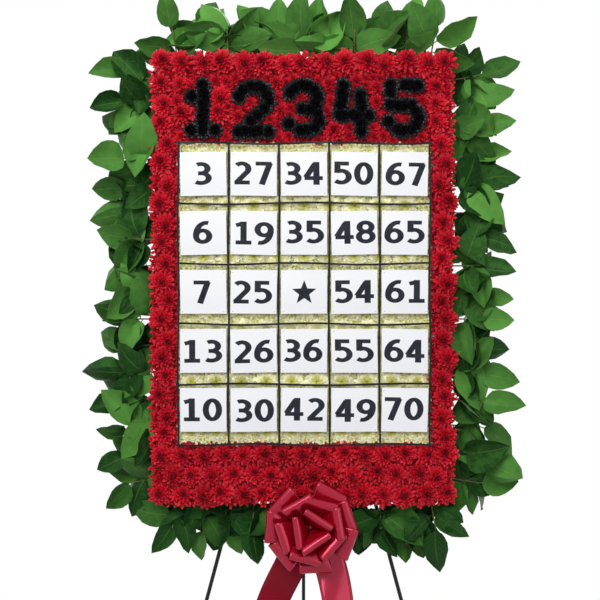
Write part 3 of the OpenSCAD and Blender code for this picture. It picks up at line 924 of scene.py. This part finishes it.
def make_leaf(name, curl, fold, twist, sweep):
    """A leaf from a flat grid: stalk at the origin, tip one unit up Y, upper face on Z."""
    leaf = flat_grid(4, 8)
    leaf.name = name
    mode("EDIT")
    move(0, 0.5, 0)
    # Rows up the leaf: a short stalk, a round foot, the widest part below the middle, a drawn-out tip
    for k, u in enumerate((0, 0.07, 0.12, 0.22, 0.36, 0.52, 0.68, 0.85, 1)):
        t = max(0, (u - 0.07) / 0.93)
        shape = 1.64 * t**0.55 * (1 - t) ** 0.85
        wide = max(shape, 0.025 if k < 2 else 0.01)
        rise = curl * (u**2 - 0.6 * u)

        def row(co):
            """Whether a vertex still waits in this row of the grid."""
            return abs(co.y - k / 8) < 0.03

        pick(leaf, row)
        stretch(wide, 1, 1, (0, u, 0))
        pick(leaf, lambda co: row(co) and abs(co.x) > 0.4 * wide)
        wave = 0.06 * sin(2.4 * k)
        move(0, 0, (fold + wave) * shape)
        pick(leaf, lambda co: row(co) and co.x > 0.2 * wide)
        move(0, 0, twist * shape * u)
        pick(leaf, row)
        move(sweep * u * u, u - k / 8, rise)
    mode("OBJECT")
    return leaf


def leaf_place(points):
    """A CAD leaf's axes at its stalk (X across, Y to the tip, Z out of its face), and its length."""
    middle = points.mean(0)
    axes = main_axes(points - middle)
    reach = (points - middle) @ axes[0]
    ends = [points[reach.argmin()], points[reach.argmax()]]
    ends.sort(key=lambda end: (np.linalg.norm(points - end, axis=1) < 3 * MM).sum())
    tip, stalk = Vector(ends[0]), Vector(ends[1])
    return leaf_axes(stalk, tip - stalk, Vector(axes[2])), (tip - stalk).length


def leaf_axes(stalk, along, face):
    """Axes at a stalk, with the upper face turned to the viewer."""
    along = along.normalized()
    face = (face - along * face.dot(along)).normalized()
    if face.dot(OUT) < 0:
        face = -face
    return axes_of(along.cross(face), along, face, stalk)


class TRIBUTE_OT_foliage(bpy.types.Operator):
    """Grows the leaves of the border and fills its sprigs"""

    bl_idname = "tribute.foliage"
    bl_label = "Foliage"

    def execute(self, context):
        sizes, colours = settings(context)
        vein = colours.leaf_vein
        upper = leaf_finish("waxy_leaf", colours.leaf_dark, colours.leaf_light, vein, 0.38, 0.6)
        under = leaf_finish("leaf_underside", colours.under_dark, colours.under_light, vein, 0.6, 0.3)
        forms = [
            make_leaf("leaf_arched", -0.35, 0.12, 0.05, 0.08),
            make_leaf("leaf_cupped", 0.25, 0.22, 0.12, -0.1),
            make_leaf("leaf_drooped", -0.65, 0.06, -0.2, 0.14),
            make_leaf("leaf_folded", -0.3, 0.4, 0.1, -0.06),
            make_leaf("leaf_rolled", -0.2, -0.28, 0.22, -0.14),
        ]
        for form in forms:
            dressed(form, upper, under)
        stems = [self.stem_place(points) for points in loose_parts("sprig_stems")]
        for seed, side in enumerate(("top", "right", "bottom", "left")):
            dice = Random(40 + seed)
            name = "leaves_" + side
            # Painted light and shade: the leaves at the top are painted lighter and those at the sides
            # and foot darker, as the light falls from above
            shade = {"top": 0.26, "bottom": -0.36}.get(side, -0.1)
            leaves = []
            for points in loose_parts(name):
                axes, length = leaf_place(points)
                size = length * sizes.leaf_growth * dice.uniform(0.8, 1.12)
                if axes.col[1].to_3d().angle(axes.translation - HEART) < 0.5:
                    # A leaf at a sprig's end grows back towards the board
                    axes = axes @ Matrix.Translation((0, min(0, 1.04 * length - size), 0))
                turn = spin(dice.uniform(-0.4, 0.4), "Z")
                leaves.append(self.leaf(forms, axes @ turn, size, dice, shade))
            for end, along in stems:
                if self.side_of(end) == side:
                    leaves += self.filling(forms, end, along, dice, shade)
            piece = joined(name + "_grown", leaves)
            applied(piece, "SOLIDIFY", thickness=0.5 * MM, offset=-1.0, material_offset=1)
            smooth(piece, 50)
            placed(piece, "leaf", name)
        for form in forms:
            bpy.data.meshes.remove(form.data)
        return {"FINISHED"}

    def stem_place(self, points):
        """Outer end and outward direction of a sprig's stem."""
        middle = points.mean(0)
        axis = main_axes(points - middle)[0]
        half = np.abs((points - middle) @ axis).max()
        ends = [Vector(middle - axis * half), Vector(middle + axis * half)]
        ends.sort(key=lambda end: (end - HEART).length)
        return ends[1], (ends[1] - ends[0]).normalized()

    def side_of(self, end):
        """The side of the board that a stem's end lies on."""
        x, up, _ = on_board(np.array([end]))[0]
        away = {
            "left": BOARD_LOW[0] - x,
            "right": x - BOARD_HIGH[0],
            "bottom": BOARD_LOW[1] - up,
            "top": up - BOARD_HIGH[1],
        }
        return max(away, key=away.get)

    def leaf(self, forms, axes, length, dice, shade):
        """One leaf at its place, a little tilted, with a tone of its own and the painted light and
        shade of its place.
        """
        form = dice.choice(forms)
        tilt = spin(dice.uniform(-0.65, 0.65), "Y") @ spin(dice.uniform(-0.25, 0.3), "X")
        wide = length * dice.uniform(0.85, 1.12)
        copy = copy_of(form, axes @ tilt @ Matrix.Diagonal((wide, length, length, 1)))
        tone = dice.random() ** 2.2 + shade
        tinted(copy.data, np.tile([tone, dice.random(), 0, 1], (len(copy.data.vertices), 1)))
        return copy

    def filling(self, forms, end, along, dice, shade):
        """Further leaves up a sprig, before and behind the ones of the frame."""
        face = (OUT - along * OUT.dot(along)).normalized()
        side = along.cross(face)
        # Each rank: how far back from the end, spread from the stem and rise to the front
        ranks = (
            ((50, 64), (45, 85), (-24, -4)),
            ((34, 54), (25, 85), (4, 32)),
            ((16, 40), (12, 60), (-30, 12)),
        )
        leaves = []
        sign = dice.choice((-1, 1))
        for backs, spreads, raises in ranks[: dice.choice((2, 2, 3))]:
            sign = -sign
            spread = radians(dice.uniform(*spreads))
            raised = radians(dice.uniform(*raises))
            flat = along * cos(spread) + side * sign * sin(spread)
            way = flat * cos(raised) + face * sin(raised)
            way.z -= dice.uniform(0, 0.45)
            up = face * cos(raised) - flat * sin(raised)
            axes = leaf_axes(end - along * dice.uniform(*backs) * MM, way, up)
            # Leaves turned back behind the others are painted darker, as painted shade
            tone = shade - (0.2 if raised < 0 else 0.0)
            leaves.append(self.leaf(forms, axes, dice.uniform(70, 104) * MM, dice, tone))
        return leaves


# Bow


class TRIBUTE_OT_bow(bpy.types.Operator):
    """Makes the satin loops, the gathered tie and the two tails"""

    bl_idname = "tribute.bow"
    bl_label = "Bow"

    def execute(self, context):
        sizes, colours = settings(context)
        width = sizes.ribbon_width
        # A single-faced ribbon: the face shines and the back is dull, and the back's darker red is
        # painted shade on the left tail and inside the loops
        weave = (colours.satin_shine, width, 0.2)  # Sheen, width and length
        bright, dull = (0.16, 1.0, 1.75), (0.5, 0.4, 1.5)  # Roughness, gloss and refraction
        face = satin_finish("red_satin_face", colours.satin, colours.satin_fold, *weave, *bright)
        back = satin_finish("red_satin_back", colours.satin_back, colours.back_fold, *weave, *dull)
        loops, flat_length = [], 0.0
        for k, points in enumerate(loose_parts("bow_loops")):
            loop, length = self.loop(points, sizes, (back, face), Random(60 + k))
            loops.append(loop)
            flat_length += length
        piece = joined("bow_loops_satin", loops)
        self.finished(piece, "bow_loops")
        piece = self.tie()
        dressed(piece, face)
        self.finished(piece, "bow_tie")
        # The left tail shows its back, with its painted shade
        for side, name, sides in ((-1, "left_tail", (back, face)), (1, "right_tail", (face, back))):
            piece = self.tail(name + "_satin", side, sizes, sides)
            self.finished(piece, name)
        return {"FINISHED"}

    def finished(self, piece, node):
        """Shades a piece of the bow smooth and hands it on."""
        only(piece)
        bpy.ops.object.shade_smooth()
        placed(piece, "red_satin", node)

    def ribbon(self, sheet, sides):
        """Gives a sheet its thickness and the finishes of its two sides."""
        dressed(sheet, *sides)
        applied(sheet, "SOLIDIFY", thickness=0.35 * MM, offset=0.0, material_offset=1)

    def loop(self, points, sizes, sides, dice):
        """One loop over its CAD loop: gathered at the tie, wide and round at its fold."""
        rest = points - np.array(TIE)
        out = Vector(rest.mean(0)).normalized()
        flat = rest - np.outer(rest @ np.array(out), np.array(out))
        across = Vector(main_axes(flat)[0]).normalized()
        rise = out.cross(across)
        x, z = (rest @ np.array(d) for d in (out, rise))
        start, reach = x.min(), x.max() - x.min()
        curve = 0.8 * np.abs(z).max()
        slant = asin(curve / (reach - curve))
        arm = (reach - curve) * cos(slant)
        loop = flat_grid(64, 16)
        fold = 0.4  # Share of the grid that the round fold takes
        roll, skew, sway = (dice.uniform(-m, m) for m in (0.22, 5 * MM, 0.8))
        for v in loop.data.vertices:
            s, k = 2 * v.co.x, 2 * v.co.y
            # Two arms from the tie and a round fold between them, in the middle of the grid
            if abs(s) < fold:
                a = s / fold * (pi / 2 + slant)
                here, high = reach - curve + curve * cos(a), curve * sin(a)
            else:
                here = arm * cos(slant) * (1 - abs(s)) / (1 - fold)
                high = copysign(here * tan(slant) + 0.6 * MM, s)
            near = here / reach
            wide = sizes.ribbon_width * (1 - 0.7 * (1 - near) ** 1.8)
            gather = 1.8 * MM * (1 - near) ** 2 * cos(3 * pi * k + sway)
            swell = 2.5 * MM * sin(pi * near) * (1 - k * k) * (1 if s > 0 else -1)
            v.co = (
                start + here + skew * k * near,
                wide * k / 2,
                high + gather + swell + roll * wide * k / 2 * near,
            )
        loop.data.transform(axes_of(out, across, rise, TIE))
        self.ribbon(loop, sides)
        return loop, 2 * arm + curve * (pi + 2 * slant)

    def tie(self):
        """The tie: a ball drawn into pleats, as gathered ribbon is."""
        bpy.ops.mesh.primitive_uv_sphere_add(segments=48, ring_count=16, radius=TIE_R)
        tie = bpy.context.active_object
        for v in tie.data.vertices:
            round_it = atan2(v.co.y, v.co.x)
            v.co *= 0.965 + 0.03 * cos(11 * round_it + 3 * v.co.z / TIE_R)
        tie.data.transform(Matrix.Translation(TIE) @ BOARD.to_3x3().to_4x4())
        return joined("bow_tie_satin", [tie])

    def tail(self, name, side, sizes, sides):
        """One tail on the CAD tail's path, with a softly cupped face and a notched end."""
        length = sizes.tail_length
        begin = Vector((0.45, 0.55, -0.86)).normalized() * (TIE_R + 0.5 * MM)
        drape = 28 * MM * side

        def path(u):
            """The middle line of the tail at a share of its length."""
            if side < 0:
                out = 0.38 * length * u * (1.25 - 0.35 * u)
            else:
                out = 0.15 * length * (1 - (1 - u) ** 4)
            sway = 5 * MM * u * sin(radians(560 * u + 40 * side)) - 16 * MM * u * u
            below = max(0, min(1, (u - 0.18) / 0.26))
            sway -= drape * (1 - cos(pi * below)) / 2
            return TIE + Vector((side * (begin.x + out), begin.y + sway, begin.z - 0.93 * length * u))

        tail = flat_grid(70, 8)
        for v in tail.data.vertices:
            k = 2 * v.co.y
            u = (v.co.x + 0.5) * (0.955 + 0.045 * abs(k))
            along = (path(u + 0.01) - path(u - 0.01)).normalized()
            turn = radians(4 + 26 * u if side < 0 else -56 * max(0, u) ** 1.2)
            flat = along.cross(Vector((0, 1, 0))).normalized()
            face = along.cross(flat)
            across = flat * cos(turn) + face * sin(turn)
            half = sizes.ribbon_width * min(1, 0.12 + 5 * u) / 2
            gather = max(0, 1 - 5 * u)
            cup = 4 * MM * (1 - k * k) * sin(pi * u) + 1.2 * MM * gather * cos(9 * k)
            v.co = path(u) + across * half * k + along.cross(across) * cup
        self.ribbon(tail, sides)
        return joined(name, [tail])


# Finishes of the frame's own pieces


class TRIBUTE_OT_frame_finishes(bpy.types.Operator):
    """Finishes the easel, the board and the small fixings that stay as they are"""

    bl_idname = "tribute.frame_finishes"
    bl_label = "Frame finishes"

    def execute(self, context):
        _, colours = settings(context)
        wire = enamel_finish(colours.enamel)
        finishes = {
            "anchor_wires": steel_finish("zinc_plated_wire", colours.zinc, 0.4),
            "card_pins": steel_finish("nickel_plated_pin", colours.nickel, 0.25),
            "foam_board": foam_finish(colours.foam),
            "sprig_stems": bark_finish(colours.bark, colours.young_bark),
            "bow_pick": wood_finish(colours.birch),
        }
        legs = ("left_front_leg", "right_front_leg", "rear_leg", "rear_leg_sleeve")
        rods = ("hinge_rod", "lower_crossbar", "leg_stay", "prongs")
        finishes.update({name: wire for name in legs + rods})
        for name, finish in finishes.items():
            dressed(NODES[name], finish)
        return {"FINISHED"}


# Stage


class TRIBUTE_OT_stage(bpy.types.Operator):
    """Sets the floor, the soft lights, the white surround and the camera"""

    bl_idname = "tribute.stage"
    bl_label = "Stage"

    def execute(self, context):
        scene = context.scene
        scene.view_settings.view_transform = "Standard"
        bpy.ops.mesh.primitive_circle_add(vertices=96, radius=1.05, fill_type="NGON")
        floor = context.active_object
        floor.name = "floor"
        dressed(floor, ended(begun("pale_floor")[0], linear("#f1f1ef"), 0.9))
        # The picture's middle lies a little to the left of the board's and below it
        aim = HEART + BOARD.to_3x3() @ Vector((-0.0083, -0.0435, 0))
        for name, place, size, power in (
            ("key", (-0.95, -2.2, 3.4), 2.1, 84),
            ("fill", (2.2, -2.2, 1.5), 2.0, 16),
            ("back", (0.6, 2.2, 2.6), 1.6, 16),
        ):
            bpy.ops.object.light_add(type="AREA", location=place)
            lamp = context.active_object
            lamp.name = name
            lamp.data.size, lamp.data.energy = size, power
            lamp.rotation_euler = (aim - lamp.location).to_track_quat("-Z", "Y").to_euler()
        self.surround(scene)
        # Distance of the camera, and width of its view at the board
        away, view = 3.0, 1.242
        bpy.ops.object.camera_add(location=aim + OUT * away)
        camera = context.active_object
        camera.rotation_euler = (-OUT).to_track_quat("-Z", "Y").to_euler()
        camera.data.lens = camera.data.sensor_width * away / view
        scene.camera = camera
        return {"FINISHED"}

    def surround(self, scene):
        """White where the camera, a gloss or a clear piece looks, and a softer light elsewhere."""
        world = bpy.data.worlds.new("white_surround")
        world.use_nodes = True
        scene.world = world
        tree = world.node_tree
        rays = put(tree, "LightPath").node.outputs
        seen = reckon(tree, "MAXIMUM", rays["Is Camera Ray"], rays["Is Glossy Ray"])
        clear = reckon(tree, "MAXIMUM", seen, rays["Is Transmission Ray"])
        level = ranged(tree, clear, (0.0, 1.0), (0.32, 1.0))
        feed(tree, tree.nodes["Background"], {"Color": WHITE, "Strength": level})


STEPS = (
    TRIBUTE_OT_flower_heads,
    TRIBUTE_OT_number_cards,
    TRIBUTE_OT_grid_ribbons,
    TRIBUTE_OT_foliage,
    TRIBUTE_OT_bow,
    TRIBUTE_OT_frame_finishes,
    TRIBUTE_OT_stage,
)


class TRIBUTE_PT_panel(bpy.types.Panel):
    """Lists the steps and settings of the tribute"""

    bl_label = "Floral tribute"
    bl_idname = "TRIBUTE_PT_panel"
    bl_space_type = "VIEW_3D"
    bl_region_type = "UI"
    bl_category = "Tribute"

    def draw(self, context):
        """Draws a button for each step and the settings under them."""
        for step in STEPS:
            self.layout.operator(step.bl_idname)
        for group in settings(context):
            box = self.layout.box()
            for key in group.bl_rna.properties.keys():
                if key not in ("rna_type", "name"):
                    box.prop(group, key)


CLASSES = (TributeSizes, TributeColours) + STEPS + (TRIBUTE_PT_panel,)


def register():
    """Registers the classes and the settings."""
    for cls in CLASSES:
        bpy.utils.register_class(cls)
    bpy.types.Scene.tribute_sizes = bpy.props.PointerProperty(type=TributeSizes)
    bpy.types.Scene.tribute_colours = bpy.props.PointerProperty(type=TributeColours)


def unregister():
    """Removes the settings and the classes."""
    del bpy.types.Scene.tribute_colours
    del bpy.types.Scene.tribute_sizes
    for cls in reversed(CLASSES):
        bpy.utils.unregister_class(cls)


def main():
    """Runs every step."""
    register()
    bpy.ops.tribute.flower_heads()
    bpy.ops.tribute.number_cards()
    bpy.ops.tribute.grid_ribbons()
    bpy.ops.tribute.foliage()
    bpy.ops.tribute.bow()
    bpy.ops.tribute.frame_finishes()
    bpy.ops.tribute.stage()


if __name__ == "__main__":
    main()
